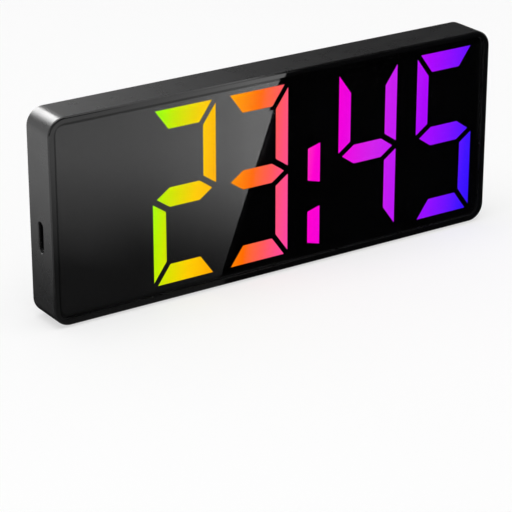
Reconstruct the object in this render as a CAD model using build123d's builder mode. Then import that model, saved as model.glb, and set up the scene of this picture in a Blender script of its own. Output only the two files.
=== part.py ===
from build123d import *
from math import asin, degrees
import os

# Digital LED desk clock, in millimetres
# X runs to the right along the front, Y runs to the rear, Z is up
# The origin lies under the middle of the clock, on the table

# Fits
fit = 0.15  # one piece dropped into another
press = 0.05  # pieces pushed together by hand
slack = 0.3  # board and reflector inside the front opening
overrun = 1.0  # how far a cut runs past the face that it opens

# Case
case_width = 160.0
case_height = 64.5
case_depth = 13.5
corner_radius = 5.5
rim_width = 1.8  # rim seen round the lens pocket
rim_round = 0.6
rear_round = 0.8
wall = 2.6
cover_wall = 2.0  # wall beside the rear cover
ledge_width = 1.3  # ledge under the edge of the lens
ledge_thickness = 1.4
pad_size = 7.5  # corner pads that take the board and the cover screws
pad_bite = 0.4  # how far a pad reaches into the wall
screw_inset = 6.2  # cover screws from the outer faces

# Feet
foot_length = 26.0
foot_width = 10.0
foot_corner = 2.0
foot_proud = 0.5
foot_sink = 0.3
foot_spread_share = 0.34  # of the case width, either side of the middle

# Front pane
lens_recess = 0.15
lens_thickness = 1.2
lens_gap = 0.25
lens_edge = 0.2
tape_thickness = 0.25
tape_margin = 0.15

# Seven-segment digits
digit_gap = 3.8  # between the first two digits
digit_border = 1.2  # reflector left above and below the digits
digit_left_shares = (0.218, 0.381, 0.639, 0.8275)  # left edges, of the case width
bar_thickness = 6.2  # top, middle and bottom bars
post_thickness = 4.5  # upright bars
bar_mitre_gap = 1.3
post_mitre_gap = 1.1
middle_gap = 1.3
middle_tip = 1.4
colon_left_share = 0.567  # of the case width
colon_thickness = 4.6
colon_length_shares = (0.189, 0.234)  # left and right edges of a bar, of the digit height
colon_height_shares = (0.0, -0.375)  # bar centres from the digit middle, of the digit height
digit_names = ("hour_tens", "hour_units", "minute_tens", "minute_units")
lit_letters = ("abged", "abgcd", "fgbc", "afgcd")

# Light wells and diffusers
plate_thickness = 1.2
well_depth = 5.3
well_wall = 0.7
well_taper = 3.0  # degrees, closing towards the board
diffuser_depth = 2.0
module_gap = 0.05  # reflector behind the lens
boss_radius = 2.0
boss_pilot = 0.85
boss_pilot_depth = 4.4
boss_offset = 4.0  # left bosses from the first digit
boss_margin = 6.5  # bosses from the upper and lower edges of the reflector

# Circuit board and LEDs
board_thickness = 1.2
board_corner = 2.0
board_hole = 1.1
led_size = 2.0
led_height = 0.8
led_place_share = 0.6  # from the middle of a segment, of half its inner edge

# Reflector screws
pan_head_radius = 1.9
pan_head_height = 1.2
pan_head_edge = 0.4
pan_shank_radius = 0.8
pan_shank_length = 5.2

# USB-C inlet
port_height = 26.65  # above the underside of the case
port_slot_length = 9.6
port_slot_width = 2.8
port_skin = 0.8  # wall left in front of the inlet
port_edge = 0.25
shell_length = 8.94
shell_width = 3.26
shell_depth = 7.35
shell_wall = 0.3
shell_gap = 0.1
shell_relief = 0.35
shell_sink = 1.6  # how deep the shell lies in the notch of the board
ear_length = 3.6  # ears of the shell, on the front of the board
ear_reach = 1.2
block_depth = 2.0
tongue_length = 6.7
tongue_width = 0.7
tongue_depth = 4.4

# Rear cover
cover_thickness = 1.6
cover_edge = 0.3
lip_height = 1.2
lip_thickness = 1.0
cover_hole = 1.05
sink_angle = 90.0
flat_head_radius = 1.9
flat_head_sunk = 0.1
flat_shank_radius = 0.85
flat_shank_length = 5.0
cross_length = 2.0
cross_width = 0.5
cross_depth = 0.6

# Push buttons and their switches
button_names = ("mode", "up", "down", "alarm")
button_pitch = 16.0
button_height_share = 0.77  # row height, of the case height
button_length = 10.0
button_width = 5.0
button_proud = 0.8
button_edge = 0.5
flange_border = 1.0
flange_thickness = 0.8
stem_radius = 1.6
switch_size = 5.2
switch_height = 1.4
switch_corner = 0.8
switch_floor = 0.2
plunger_radius = 1.25
plunger_length = 1.1
plunger_proud = 0.6

# Backup cell, its holder, springs and door
cell_height_share = 0.375  # cell centre, of the case height
cell_radius = 10.0
cell_thickness = 3.2
cell_edge = 0.5
cell_lift = 0.4
cell_step = 0.3
cell_cap_radius = 8.7
holder_fit = 0.2
holder_wall = 1.2
holder_height = 2.7
spring_thickness = 0.2
spring_width = 4.0
spring_foot = 4.0
spring_ramp = 4.0
spring_pad = 4.0
clip_width = 2.6
clip_foot = 2.0
clip_rise = 2.0
clip_reach = 2.2
door_radius = 11.2
door_skirt = 0.9
door_cap = 1.9
door_turn = 40.0  # degrees from shut to free
lug_count = 3
lug_first = 90.0
lug_width = 6.0
lug_reach = 1.2
lug_thickness = 0.8
lug_gap = 0.1
stop_radius = 0.6
coin_slot_length = 14.0
coin_slot_width = 1.8
coin_slot_depth = 0.9
door_edge = 0.25
mark_height = 0.3
mark_radius = 0.8
mark_hollow = 0.4
mark_ring = 14.4  # from the middle of the door to the marks on the cover
arrow_radius = 1.2
arrow_ring = 9.2

# Parts on the rear of the board
buzzer_side_share = 0.275  # of the case width, to the right of the middle
buzzer_radius = 4.5
buzzer_height = 3.4
buzzer_mouth = 1.0
buzzer_mouth_depth = 1.0
buzzer_edge = 0.3
sound_hole = 0.65
sound_ring = 2.6
sound_count = 6
sensor_side_share = 0.375  # of the case width, to the left of the middle
sensor_bead = 1.2
sensor_leg = 0.25
sensor_leg_pitch = 1.4
sensor_stand = 2.4
vent_length = 10.0
vent_width = 1.2
vent_pitch = 2.6
vent_count = 4
chip_side_shares = (-0.2, 0.17)  # clock chip and LED driver from the middle, of the case width
chip_length = 9.9
chip_width = 3.9
chip_height = 1.5
chip_stand = 0.1
lead_pitch = 1.27
lead_count = 8
lead_width = 0.4
lead_thickness = 0.2
lead_foot = 0.6
lead_reach = 1.05
passive_length = 2.0
passive_width = 1.25
passive_height = 0.6
passive_pitch = 2.6
passive_count = 5
passive_drop = 8.0  # below the chips
crystal_radius = 1.0
crystal_length = 6.0
crystal_rise = 12.0  # above the chip
crystal_lead = 0.3
crystal_lead_reach = 1.4
crystal_lead_pitch = 0.9

# Levels from front to rear
rim_y = -(case_depth + button_proud) / 2
rear_y = rim_y + case_depth
lens_front_y = rim_y + lens_recess
lens_back_y = lens_front_y + lens_thickness
ledge_front_y = lens_back_y + tape_thickness
ledge_back_y = ledge_front_y + ledge_thickness
reflector_y = lens_back_y + module_gap
board_front_y = reflector_y + well_depth
board_back_y = board_front_y + board_thickness
cover_y = rear_y - cover_thickness
flange_back_y = cover_y - press
flange_front_y = flange_back_y - flange_thickness
switch_back_y = board_back_y + switch_height
plunger_back_y = switch_back_y + plunger_proud
cell_front_y = board_back_y + cell_lift
lug_back_y = cover_y - lug_gap
lug_front_y = lug_back_y - lug_thickness
shell_y = board_front_y - shell_width / 2 + shell_sink

# Places across the front
case_mid_z = foot_proud + case_height / 2
port_z = foot_proud + port_height
slot_x = -case_width / 2
mouth_x = slot_x + port_skin + shell_gap
inlet_end_x = mouth_x + shell_depth
button_z = foot_proud + case_height * button_height_share
cell_z = foot_proud + case_height * cell_height_share
buzzer_x = case_width * buzzer_side_share
sensor_x = -case_width * sensor_side_share
chip_x, driver_x = [case_width * share for share in chip_side_shares]
opening_inset = rim_width + ledge_width
opening_width = case_width - 2 * opening_inset
opening_height = case_height - 2 * opening_inset
module_width = opening_width - 2 * slack
module_height = opening_height - 2 * slack
digit_width = case_width * (digit_left_shares[1] - digit_left_shares[0]) - digit_gap
digit_height = module_height - 2 * digit_border
digit_mids = [case_width * (share - 1 / 2) + digit_width / 2 for share in digit_left_shares]
colon_x = case_width * (colon_left_share - 1 / 2) + colon_thickness / 2
colon_mids = [(colon_x, case_mid_z + digit_height * share) for share in colon_height_shares]
button_xs = [button_pitch * (place - (len(button_names) - 1) / 2) for place in range(len(button_names))]
screw_x = case_width / 2 - screw_inset
screw_rise = case_height / 2 - screw_inset
screw_places = [(side * screw_x, case_mid_z + end * screw_rise) for side in (-1, 1) for end in (-1, 1)]
boss_left_x = digit_mids[0] - digit_width / 2 - boss_offset
boss_right_x = (digit_mids[2] + digit_mids[3]) / 2
boss_rise = module_height / 2 - boss_margin
boss_places = [(x, case_mid_z + end * boss_rise) for x in (boss_left_x, boss_right_x) for end in (-1, 1)]


def from_front(y):
    """Plane across the clock at this Y, seen from the front: X to the right, Z up."""
    return Plane.front.offset(-y)


def rounded(width, height, radius, mode=Mode.ADD):
    """Rounded rectangle on the middle of the case."""
    with Locations((0, case_mid_z)):
        RectangleRounded(width, height, radius, mode=mode)


def inset(distance, mode=Mode.ADD):
    """The outline of the case, drawn in by this much."""
    size = 2 * distance
    rounded(case_width - size, case_height - size, corner_radius - distance, mode)


# Segment outlines about the digit's own middle
half_width = digit_width / 2
half_height = digit_height / 2
half_bar = bar_thickness / 2
bar_end = half_width - bar_mitre_gap
bar_outline = [
    (-bar_end, half_height),
    (bar_end, half_height),
    (bar_end - post_thickness, half_height - bar_thickness),
    (post_thickness - bar_end, half_height - bar_thickness),
]
post_top = half_height - post_mitre_gap
post_outline = [
    (-half_width, post_top),
    (post_thickness - half_width, post_top - bar_thickness),
    (post_thickness - half_width, middle_gap + half_bar),
    (-half_width, middle_gap),
]
tip = half_width - middle_tip
middle_outline = [
    (-tip, 0),
    (post_thickness - tip, half_bar),
    (tip - post_thickness, half_bar),
    (tip, 0),
    (tip - post_thickness, -half_bar),
    (post_thickness - tip, -half_bar),
]
colon_short, colon_long = [half_height * share for share in colon_length_shares]
colon_outline = [
    (-colon_thickness / 2, colon_short),
    (colon_thickness / 2, colon_long),
    (colon_thickness / 2, -colon_long),
    (-colon_thickness / 2, -colon_short),
]
segment_shapes = {
    "a": (bar_outline, 1, 1),
    "d": (bar_outline, 1, -1),
    "g": (middle_outline, 1, 1),
    "f": (post_outline, 1, 1),
    "b": (post_outline, -1, 1),
    "e": (post_outline, 1, -1),
    "c": (post_outline, -1, -1),
}


def segment(letter, digit_x):
    """Corners of one segment of the digit whose middle is at this X."""
    outline, across, upward = segment_shapes[letter]
    return [(digit_x + across * x, case_mid_z + upward * z) for x, z in outline]


def colon_bar(middle):
    """Corners of one colon bar about its middle."""
    return [(middle[0] + x, middle[1] + z) for x, z in colon_outline]


def led_places(letter, digit_x):
    """The two LED places under one segment."""
    bar_step = (bar_end - post_thickness) * led_place_share
    post_step = (post_top - bar_thickness - middle_gap - half_bar) / 2 * led_place_share
    bar_z = half_height - half_bar
    post_x = half_width - post_thickness / 2
    post_z = (post_top + middle_gap) / 2
    middles = {"a": (0, bar_z), "g": (0, 0), "d": (0, -bar_z)}
    if letter in middles:
        x, z = middles[letter]
        return [(digit_x + x + way * bar_step, case_mid_z + z) for way in (-1, 1)]
    _, across, upward = segment_shapes[letter]
    x, z = -across * post_x, upward * post_z
    return [(digit_x + x, case_mid_z + z + way * post_step) for way in (-1, 1)]


def draw(outlines):
    """Closed polygons in the sketch that is open."""
    for outline in outlines:
        Polygon(*outline, align=None)


colon_bars = [colon_bar(middle) for middle in colon_mids]
all_outlines = [segment(letter, x) for x in digit_mids for letter in segment_shapes] + colon_bars

# Front housing: one moulding with the rim, the ledge for the lens and the corner pads
with BuildPart() as front_housing:
    with BuildSketch(from_front(rear_y)):
        inset(0)
    extrude(amount=case_depth)
    fillet(front_housing.faces().sort_by(Axis.Y)[0].edges(), rim_round)
    fillet(front_housing.faces().sort_by(Axis.Y)[-1].edges(), rear_round)
    with BuildSketch(from_front(rim_y)):
        inset(rim_width)
    extrude(amount=rim_y - ledge_front_y, mode=Mode.SUBTRACT)
    with BuildSketch(from_front(ledge_front_y)):
        inset(opening_inset)
    extrude(amount=-ledge_thickness, mode=Mode.SUBTRACT)
    with BuildSketch(from_front(ledge_back_y)):
        inset(wall)
    extrude(amount=ledge_back_y - cover_y, mode=Mode.SUBTRACT)
    with BuildSketch(from_front(cover_y)):
        inset(cover_wall)
    extrude(amount=-cover_thickness, mode=Mode.SUBTRACT)
    pad_x = case_width / 2 - wall + pad_bite - pad_size / 2
    pad_rise = case_height / 2 - wall + pad_bite - pad_size / 2
    pad_places = [(side * pad_x, case_mid_z + end * pad_rise) for side in (-1, 1) for end in (-1, 1)]
    with BuildSketch(from_front(board_back_y)):
        with Locations(*pad_places):
            Rectangle(pad_size, pad_size)
        with Locations(*screw_places):
            Circle(flat_shank_radius + press, mode=Mode.SUBTRACT)
    extrude(amount=board_back_y - cover_y)
    with BuildSketch(Plane.YZ.offset(slot_x - overrun)):
        with Locations((shell_y, port_z)):
            SlotOverall(port_slot_length, port_slot_width, rotation=90)
    extrude(amount=overrun + wall, mode=Mode.SUBTRACT)
    chamfer(front_housing.faces().sort_by(Axis.X)[0].inner_wires().edges(), port_edge)
    with BuildSketch(Plane.YZ.offset(slot_x + port_skin)):
        with Locations((shell_y, port_z)):
            SlotOverall(shell_length + 2 * shell_relief, shell_width + 2 * shell_relief, rotation=90)
    extrude(amount=wall, mode=Mode.SUBTRACT)
    foot_x = case_width * foot_spread_share
    foot_y = (rim_y + rear_y) / 2
    with BuildSketch(Plane.XY.offset(foot_proud)):
        with Locations((-foot_x, foot_y), (foot_x, foot_y)):
            RectangleRounded(foot_length + 2 * fit, foot_width + 2 * fit, foot_corner + fit)
    extrude(amount=foot_sink, mode=Mode.SUBTRACT)
front_housing.part.label = "front_housing"

# Front pane of smoked acrylic, and the tape ring that holds it on the ledge
with BuildPart() as front_lens:
    with BuildSketch(from_front(lens_back_y)):
        inset(rim_width + lens_gap)
    extrude(amount=lens_thickness)
    chamfer(front_lens.faces().sort_by(Axis.Y)[0].edges(), lens_edge)
front_lens.part.label = "front_lens"

with BuildPart() as lens_tape:
    with BuildSketch(from_front(ledge_front_y)):
        inset(rim_width + lens_gap + tape_margin)
        inset(opening_inset - tape_margin, Mode.SUBTRACT)
    extrude(amount=tape_thickness)
lens_tape.part.label = "lens_tape"

# Reflector: a plate behind the lens with one tapered, mitred light well for each bar
with BuildPart() as segment_reflector:
    with BuildSketch(from_front(reflector_y)):
        rounded(module_width, module_height, board_corner)
    extrude(amount=-plate_thickness)
    with BuildSketch(from_front(reflector_y)):
        draw(all_outlines)
        offset(amount=well_wall, kind=Kind.INTERSECTION)
        rounded(module_width, module_height, board_corner, Mode.INTERSECT)
        with Locations(*boss_places):
            Circle(boss_radius)
    extrude(amount=-well_depth)
    with BuildSketch(from_front(reflector_y)):
        draw(all_outlines)
    extrude(amount=-well_depth, taper=well_taper, mode=Mode.SUBTRACT)
    with BuildSketch(from_front(board_front_y)):
        with Locations(*boss_places):
            Circle(boss_pilot)
    extrude(amount=boss_pilot_depth, mode=Mode.SUBTRACT)
segment_reflector.part.label = "segment_reflector"


def diffusers(outlines):
    """Milky inserts that fill the front of the wells, one solid for each outline."""
    with BuildPart() as inserts:
        with BuildSketch(from_front(reflector_y)):
            draw(outlines)
            offset(amount=-press, kind=Kind.INTERSECTION)
        extrude(amount=-diffuser_depth, taper=well_taper)
    return inserts.part


lit_parts = {}
dark_outlines = []
for name, letters, digit_x in zip(digit_names, lit_letters, digit_mids):
    lit_parts[name + "_segments"] = diffusers([segment(letter, digit_x) for letter in letters])
    dark_outlines += [segment(letter, digit_x) for letter in segment_shapes if letter not in letters]
lit_parts["colon_segments"] = diffusers(colon_bars)
lit_parts["unlit_segments"] = diffusers(dark_outlines)

# Circuit board with the LEDs on its front and a notch for the inlet in its left edge
notch_depth = module_width / 2 + inlet_end_x + fit
with BuildPart() as display_board:
    with BuildSketch(from_front(board_front_y)):
        rounded(module_width, module_height, board_corner)
        with Locations(*boss_places):
            Circle(board_hole, mode=Mode.SUBTRACT)
        with Locations((-module_width / 2, port_z)):
            Rectangle(2 * notch_depth, shell_length + 2 * fit, mode=Mode.SUBTRACT)
    extrude(amount=-board_thickness)
display_board.part.label = "display_board"

with BuildPart() as led_chips:
    with BuildSketch(from_front(board_front_y)):
        for digit_x in digit_mids:
            for letter in segment_shapes:
                with Locations(*led_places(letter, digit_x)):
                    Rectangle(led_size, led_size)
        with Locations(*colon_mids):
            Rectangle(led_size, led_size)
    extrude(amount=led_height)
led_chips.part.label = "led_chips"


def crosses(places):
    """Outlines of the cross recesses of screws at these places."""
    with Locations(*places):
        Rectangle(cross_length, cross_width)
        Rectangle(cross_width, cross_length)


with BuildPart() as reflector_screws:
    with BuildSketch(from_front(board_back_y)):
        with Locations(*boss_places):
            Circle(pan_head_radius)
    extrude(amount=-pan_head_height)
    pan_rim = reflector_screws.edges().filter_by(GeomType.CIRCLE).group_by(Axis.Y)[-1]
    chamfer(pan_rim, pan_head_edge)
    with BuildSketch(from_front(board_back_y)):
        with Locations(*boss_places):
            Circle(pan_shank_radius)
    extrude(amount=pan_shank_length)
    with BuildSketch(from_front(board_back_y + pan_head_height)):
        crosses(boss_places)
    extrude(amount=cross_depth, mode=Mode.SUBTRACT)
reflector_screws.part.label = "reflector_screws"

# USB-C inlet, sunk in the notch of the board on two ears, with its mouth behind the slot in the wall
with BuildPart() as usb_shell:
    with BuildSketch(Plane.YZ.offset(mouth_x)):
        with Locations((shell_y, port_z)):
            SlotOverall(shell_length, shell_width, rotation=90)
            SlotOverall(
                shell_length - 2 * shell_wall,
                shell_width - 2 * shell_wall,
                rotation=90,
                mode=Mode.SUBTRACT,
            )
    extrude(amount=shell_depth)
    with BuildSketch(from_front(board_front_y)):
        with Locations((inlet_end_x - ear_length / 2, port_z)):
            with GridLocations(0, shell_length + ear_reach - shell_wall / 2, 1, 2):
                Rectangle(ear_length, ear_reach + shell_wall / 2)
    extrude(amount=shell_wall)
usb_shell.part.label = "usb_shell"

with BuildPart() as usb_tongue:
    block_x = inlet_end_x - block_depth
    block_inset = 2 * (shell_wall + press)
    with BuildSketch(Plane.YZ.offset(block_x)):
        with Locations((shell_y, port_z)):
            SlotOverall(shell_length - block_inset, shell_width - block_inset, rotation=90)
    extrude(amount=block_depth)
    with BuildSketch(Plane.YZ.offset(block_x)):
        with Locations((shell_y, port_z)):
            Rectangle(tongue_width, tongue_length)
    extrude(amount=-tongue_depth)
usb_tongue.part.label = "usb_tongue"

# Rear cover: inset plate with a locating lip, button holes, bayonet opening, sound holes, vents
# and two raised marks, a dot where the door is shut and a ring where it is free
door_opening = door_radius + fit
lug_middle = door_radius + lug_reach / 2
lug_tail = lug_reach + door_skirt
sink_radius = flat_head_radius + flat_head_sunk + press
stop_step = degrees(asin((lug_width / 2 + stop_radius + 2 * fit) / lug_middle))
button_places = [(x, button_z) for x in button_xs]
with BuildPart() as rear_cover:
    with BuildSketch(from_front(cover_y)):
        inset(cover_wall + fit)
    extrude(amount=-cover_thickness)
    chamfer(rear_cover.faces().sort_by(Axis.Y)[-1].edges(), cover_edge)
    with BuildSketch(from_front(cover_y)):
        inset(wall + fit)
        inset(wall + fit + lip_thickness, Mode.SUBTRACT)
        with Locations(*pad_places):
            Rectangle(pad_size + 2 * slack, pad_size + 2 * slack, mode=Mode.SUBTRACT)
    extrude(amount=lip_height)
    with BuildSketch(from_front(cover_y)):
        with Locations(*button_places):
            SlotOverall(button_length + 2 * fit, button_width + 2 * fit)
        with Locations((0, cell_z)):
            Circle(door_opening)
            with PolarLocations(lug_middle, lug_count, lug_first - door_turn):
                Rectangle(lug_tail + 2 * fit, lug_width + 2 * fit)
        with Locations((buzzer_x, cell_z)):
            Circle(sound_hole)
            with PolarLocations(sound_ring, sound_count):
                Circle(sound_hole)
        with Locations((sensor_x, cell_z)):
            with GridLocations(0, vent_pitch, 1, vent_count):
                SlotOverall(vent_length, vent_width)
    extrude(amount=-cover_thickness, mode=Mode.SUBTRACT)
    with BuildSketch(from_front(cover_y)):
        with Locations((0, cell_z)):
            for first in (lug_first + stop_step, lug_first - door_turn - stop_step):
                with PolarLocations(lug_middle, lug_count, first):
                    Circle(stop_radius)
    extrude(amount=lug_gap + lug_thickness)
    with Locations(from_front(rear_y)):
        with Locations(*[Location((x, z, 0), (180, 0, 0)) for x, z in screw_places]):
            CounterSinkHole(cover_hole, sink_radius, counter_sink_angle=sink_angle)
    with BuildSketch(from_front(rear_y)):
        with Locations((0, cell_z)):
            with PolarLocations(mark_ring, 1, lug_first):
                Circle(mark_radius)
            with PolarLocations(mark_ring, 1, lug_first - door_turn):
                Circle(mark_radius)
                Circle(mark_hollow, mode=Mode.SUBTRACT)
    extrude(amount=-mark_height)
rear_cover.part.label = "rear_cover"

with BuildPart() as cover_screws:
    flat_head_y = rear_y - flat_head_sunk
    with BuildSketch(from_front(flat_head_y)):
        with Locations(*screw_places):
            Circle(flat_head_radius)
    extrude(amount=flat_head_radius - flat_shank_radius, taper=sink_angle / 2)
    with BuildSketch(from_front(flat_head_y - cross_depth)):
        with Locations(*screw_places):
            Circle(flat_shank_radius)
    extrude(amount=flat_shank_length - cross_depth)
    with BuildSketch(from_front(flat_head_y)):
        crosses(screw_places)
    extrude(amount=cross_depth, mode=Mode.SUBTRACT)
cover_screws.part.label = "cover_screws"

# Push buttons in the cover, each on the plunger of its own switch
with BuildPart() as switch_bodies:
    with BuildSketch(from_front(board_back_y)) as switch_outline:
        with Locations(*button_places):
            Rectangle(switch_size, switch_size)
        chamfer(switch_outline.vertices(), switch_corner)
    extrude(amount=-switch_height)
    with BuildSketch(from_front(switch_back_y)):
        with Locations(*button_places):
            Circle(plunger_radius + fit)
    extrude(amount=switch_height - switch_floor, mode=Mode.SUBTRACT)
switch_bodies.part.label = "switch_bodies"


def plunger(x):
    """Stem of one tact switch."""
    with BuildPart() as stem:
        with BuildSketch(from_front(plunger_back_y)):
            with Locations((x, button_z)):
                Circle(plunger_radius)
        extrude(amount=plunger_length)
    return stem.part


def push_button(x):
    """Cap, flange behind the cover and stem of one push button."""
    with BuildPart() as button:
        with BuildSketch(from_front(flange_back_y)):
            with Locations((x, button_z)):
                SlotOverall(button_length, button_width)
        extrude(amount=flange_back_y - rear_y - button_proud)
        chamfer(button.faces().sort_by(Axis.Y)[-1].edges(), button_edge)
        with BuildSketch(from_front(flange_back_y)):
            with Locations((x, button_z)):
                SlotOverall(button_length + 2 * flange_border, button_width + 2 * flange_border)
        extrude(amount=flange_thickness)
        with BuildSketch(from_front(flange_front_y)):
            with Locations((x, button_z)):
                Circle(stem_radius)
        extrude(amount=flange_front_y - plunger_back_y)
    return button.part


button_parts = {}
for name, x in zip(button_names, button_xs):
    button_parts["button_" + name] = push_button(x)
    button_parts["plunger_" + name] = plunger(x)

# Backup cell between its springs, in a holder on the board
with BuildPart() as coin_cell:
    with BuildSketch(from_front(cell_front_y + cell_step)):
        with Locations((0, cell_z)):
            Circle(cell_radius)
    extrude(amount=cell_step - cell_thickness)
    chamfer(coin_cell.edges().filter_by(GeomType.CIRCLE).group_by(Axis.Y)[-1], cell_edge)
    with BuildSketch(from_front(cell_front_y + cell_step)):
        with Locations((0, cell_z)):
            Circle(cell_cap_radius)
    extrude(amount=cell_step)
coin_cell.part.label = "coin_cell"

holder_inner = cell_radius + holder_fit
holder_outer = holder_inner + holder_wall
with BuildPart() as cell_holder:
    with BuildSketch(from_front(board_back_y)):
        with Locations((0, cell_z)):
            Circle(holder_outer)
            Circle(holder_inner, mode=Mode.SUBTRACT)
        with Locations((holder_outer, cell_z)):
            Rectangle(2 * holder_wall + 2 * holder_fit, clip_width + 2 * holder_fit, mode=Mode.SUBTRACT)
    extrude(amount=-holder_height)
cell_holder.part.label = "cell_holder"

with BuildPart() as negative_spring:
    foot_end = spring_pad / 2 + spring_ramp
    touch_y = cell_front_y - spring_thickness
    with BuildSketch(Plane.XY.offset(cell_z - spring_width / 2)):
        draw([[
            (-foot_end - spring_foot / 2, board_back_y),
            (-foot_end + spring_foot / 2, board_back_y),
            (-spring_pad / 2, touch_y),
            (spring_pad / 2, touch_y),
            (spring_pad / 2, cell_front_y),
            (-spring_pad / 2, cell_front_y),
            (-foot_end + spring_foot / 2, board_back_y + spring_thickness),
            (-foot_end - spring_foot / 2, board_back_y + spring_thickness),
        ]])
    extrude(amount=spring_width)
negative_spring.part.label = "negative_spring"

with BuildPart() as positive_clip:
    clip_tip = cell_radius + press
    clip_back = clip_tip + clip_reach
    clip_top = board_back_y + clip_rise
    with BuildSketch(Plane.XY.offset(cell_z - clip_width / 2)):
        draw([[
            (clip_back + clip_foot, board_back_y),
            (clip_back + clip_foot, board_back_y + spring_thickness),
            (clip_back + spring_thickness, board_back_y + spring_thickness),
            (clip_back + spring_thickness, clip_top + spring_thickness),
            (clip_tip, clip_top + spring_thickness),
            (clip_tip, clip_top),
            (clip_back, clip_top),
            (clip_back, board_back_y),
        ]])
    extrude(amount=clip_width)
positive_clip.part.label = "positive_clip"

with BuildPart() as battery_door:
    with BuildSketch(from_front(rear_y)):
        with Locations((0, cell_z)):
            Circle(door_radius)
    extrude(amount=rear_y - lug_front_y)
    chamfer(battery_door.edges().group_by(Axis.Y)[-1], door_edge)
    with BuildSketch(from_front(rear_y - door_cap)):
        with Locations((0, cell_z)):
            Circle(door_radius - door_skirt)
    extrude(amount=rear_y - door_cap - lug_front_y, mode=Mode.SUBTRACT)
    with BuildSketch(from_front(lug_back_y)):
        with Locations((0, cell_z)):
            with PolarLocations(lug_middle, lug_count, lug_first):
                Rectangle(lug_tail, lug_width)
            Circle(door_radius - door_skirt, mode=Mode.SUBTRACT)
    extrude(amount=lug_thickness)
    with BuildSketch(from_front(rear_y)):
        with Locations((0, cell_z)):
            SlotOverall(coin_slot_length, coin_slot_width)
    extrude(amount=coin_slot_depth, mode=Mode.SUBTRACT)
    with BuildSketch(from_front(rear_y)):
        with Locations((0, cell_z)):
            with PolarLocations(arrow_ring, 1, lug_first):
                RegularPolygon(arrow_radius, 3)
    extrude(amount=-mark_height)
battery_door.part.label = "battery_door"

# Buzzer, temperature sensor, chips, small parts and crystal on the rear of the board
with BuildPart() as buzzer:
    with BuildSketch(from_front(board_back_y)):
        with Locations((buzzer_x, cell_z)):
            Circle(buzzer_radius)
    extrude(amount=-buzzer_height)
    chamfer(buzzer.edges().group_by(Axis.Y)[-1], buzzer_edge)
    with BuildSketch(from_front(board_back_y + buzzer_height)):
        with Locations((buzzer_x, cell_z)):
            Circle(buzzer_mouth)
    extrude(amount=buzzer_mouth_depth, mode=Mode.SUBTRACT)
buzzer.part.label = "buzzer"

with BuildPart() as temperature_sensor:
    with BuildSketch(from_front(board_back_y)):
        with Locations((sensor_x, cell_z)):
            with GridLocations(sensor_leg_pitch, 0, 2, 1):
                Circle(sensor_leg)
    extrude(amount=-sensor_stand)
    with Locations((sensor_x, board_back_y + sensor_stand, cell_z)):
        Sphere(sensor_bead)
temperature_sensor.part.label = "temperature_sensor"


def flat_chip(middle_x):
    """Moulded chip with a row of bent leads along each long side."""
    with BuildPart() as chip:
        with BuildSketch(from_front(board_back_y + chip_stand)):
            with Locations((middle_x, cell_z)):
                Rectangle(chip_length, chip_width)
        extrude(amount=-chip_height)
        lead_xs = [middle_x + lead_pitch * (place - (lead_count - 1) / 2) for place in range(lead_count)]
        lead_y = board_back_y + chip_stand + chip_height / 2
        for side in (-1, 1):
            root_z = cell_z + side * chip_width / 2
            knee_z = root_z + side * (lead_reach - lead_foot)
            toe_z = root_z + side * lead_reach
            with BuildSketch(*[Plane.YZ.offset(x - lead_width / 2) for x in lead_xs]):
                draw([[
                    (lead_y, root_z),
                    (lead_y, knee_z),
                    (board_back_y + lead_thickness, knee_z),
                    (board_back_y + lead_thickness, toe_z),
                    (board_back_y, toe_z),
                    (board_back_y, knee_z - side * lead_thickness),
                    (lead_y - lead_thickness, knee_z - side * lead_thickness),
                    (lead_y - lead_thickness, root_z),
                ]])
            extrude(amount=lead_width)
    return chip.part


chip_parts = {"clock_chip": flat_chip(chip_x), "led_driver": flat_chip(driver_x)}

with BuildPart() as board_passives:
    with BuildSketch(from_front(board_back_y)):
        with Locations((chip_x, cell_z - passive_drop), (driver_x, cell_z - passive_drop)):
            with GridLocations(passive_pitch, 0, passive_count, 1):
                Rectangle(passive_width, passive_length)
    extrude(amount=-passive_height)
board_passives.part.label = "board_passives"

with BuildPart() as crystal_can:
    crystal_y = board_back_y + crystal_radius
    crystal_z = cell_z + crystal_rise
    crystal_x = chip_x - crystal_length / 2
    with BuildSketch(Plane.YZ.offset(crystal_x)):
        with Locations((crystal_y, crystal_z)):
            Circle(crystal_radius)
    extrude(amount=crystal_length)
    for side in (-1, 1):
        lead_z = crystal_z + side * crystal_lead_pitch / 2
        with BuildSketch(Plane.XY.offset(lead_z - crystal_lead / 2)):
            draw([[
                (crystal_x, crystal_y),
                (crystal_x - crystal_lead_reach, crystal_y),
                (crystal_x - crystal_lead_reach, board_back_y),
                (crystal_x - crystal_lead_reach + crystal_lead, board_back_y),
                (crystal_x - crystal_lead_reach + crystal_lead, crystal_y - crystal_lead),
                (crystal_x, crystal_y - crystal_lead),
            ]])
        extrude(amount=crystal_lead)
crystal_can.part.label = "crystal_can"

# Feet: rubber strips stuck into shallow recesses
with BuildPart() as rubber_feet:
    with BuildSketch(Plane.XY):
        with Locations((-foot_x, foot_y), (foot_x, foot_y)):
            RectangleRounded(foot_length, foot_width, foot_corner)
    extrude(amount=foot_proud + foot_sink)
rubber_feet.part.label = "rubber_feet"

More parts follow.
